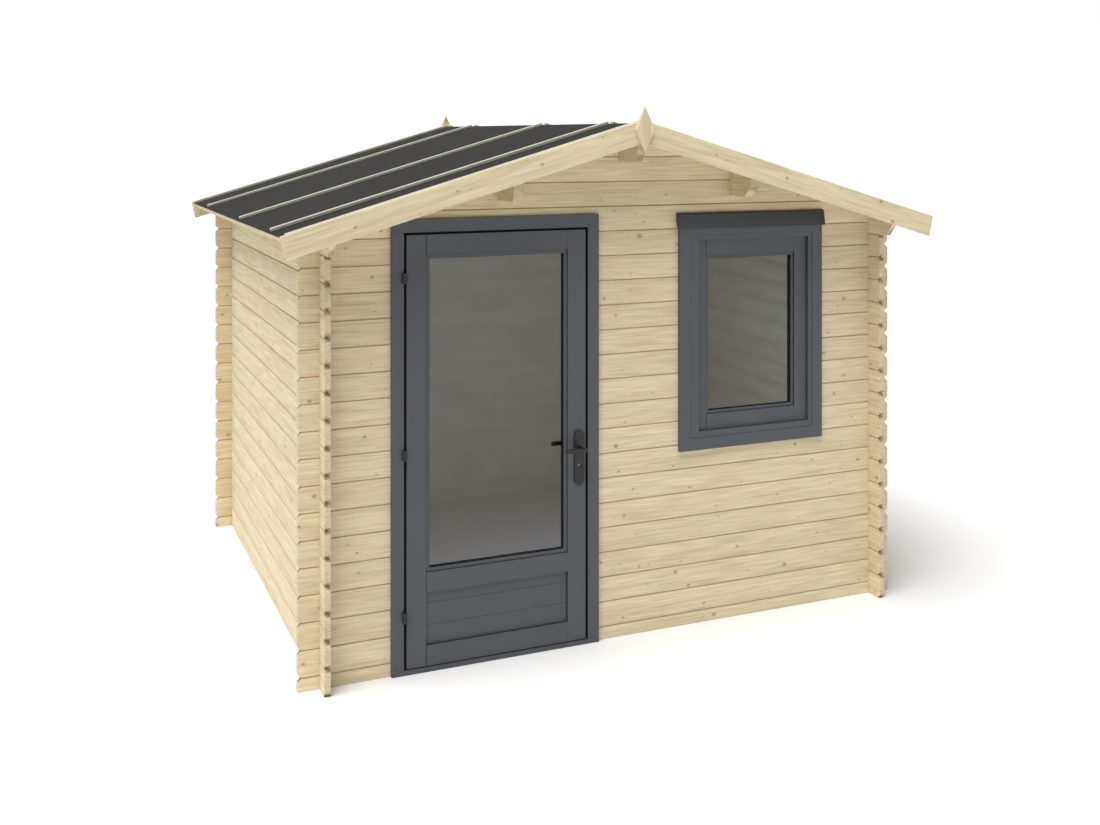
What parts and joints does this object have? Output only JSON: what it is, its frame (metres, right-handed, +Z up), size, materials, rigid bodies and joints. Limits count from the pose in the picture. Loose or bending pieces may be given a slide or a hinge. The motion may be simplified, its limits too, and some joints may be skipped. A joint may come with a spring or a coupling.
{
  "type": "wooden garden house",
  "caption": "Small log-built garden house with crossed log corners, a shallow gabled felt roof, a glazed hinged door and a fixed window.",
  "frame": {"origin": "on the ground, in the middle of the whole outline, under the ridge", "axes": "+Z up, +X to the right when facing the door, -Y out of the front"},
  "size_m": [3.244, 2.856, 2.4482],
  "materials": {
    "spruce": "planed, untreated, fine straight grain with small knots",
    "grey_batten": "sawn, weathered pale grey",
    "anthracite_paint": "satin anthracite paint on smooth timber",
    "dark_paint": "satin dark grey paint",
    "roofing_felt": "mineral-surfaced bitumen felt",
    "clear_glass": "clear float glass",
    "black_metal": "satin black powder coat"
  },
  "bodies": {
    "house": {"front_wall_left": "spruce", "front_wall_middle": "spruce", "front_wall_right": "spruce", "front_wall_under_window": "spruce", "front_wall_over_window": "spruce", "front_wall_over_door": "spruce", "front_gable": "spruce", "back_wall": "spruce", "back_gable": "spruce", "left_wall": "spruce", "right_wall": "spruce", "left_eaves_log": "spruce", "right_eaves_log": "spruce", "ridge_purlin": "spruce", "left_purlin": "spruce", "right_purlin": "spruce", "left_roof_deck": "spruce", "right_roof_deck": "spruce", "left_roof_felt": "roofing_felt", "right_roof_felt": "roofing_felt", "roof_battens": "grey_batten", "eaves_battens": "spruce", "front_left_bargeboard": "spruce", "front_right_bargeboard": "spruce", "back_left_bargeboard": "spruce", "back_right_bargeboard": "spruce", "front_finial": "spruce", "back_finial": "spruce", "door_jambs": "anthracite_paint", "door_head": "anthracite_paint", "door_threshold": "anthracite_paint", "door_casing": "anthracite_paint", "frame_hinges": "black_metal", "window_casing": "anthracite_paint", "window_cap": "dark_paint", "window_frame": "anthracite_paint", "window_sash": "anthracite_paint", "window_beading": "anthracite_paint", "window_glass": "clear_glass"},
    "door": {"door_leaf": "anthracite_paint", "door_panel": "anthracite_paint", "door_beading": "anthracite_paint", "door_glass": "clear_glass", "leaf_hinges": "black_metal", "door_lock": "black_metal"},
    "lever": {"door_levers": "black_metal"}
  },
  "joints": [
    {"name": "door_swing", "type": "hinge", "parent": "house", "child": "door", "pos_m": [-1.056, -1.2265, 0.948], "axis": [0, 0, -1], "range_deg": [0, 110]},
    {"name": "lever_turn", "type": "hinge", "parent": "door", "child": "lever", "pos_m": [-0.231, -1.19, 0.901], "axis": [0, -1, 0], "range_deg": [0, 40], "stiffness_Nm_per_rad": 1, "springref_deg": -28.65}
  ]
}
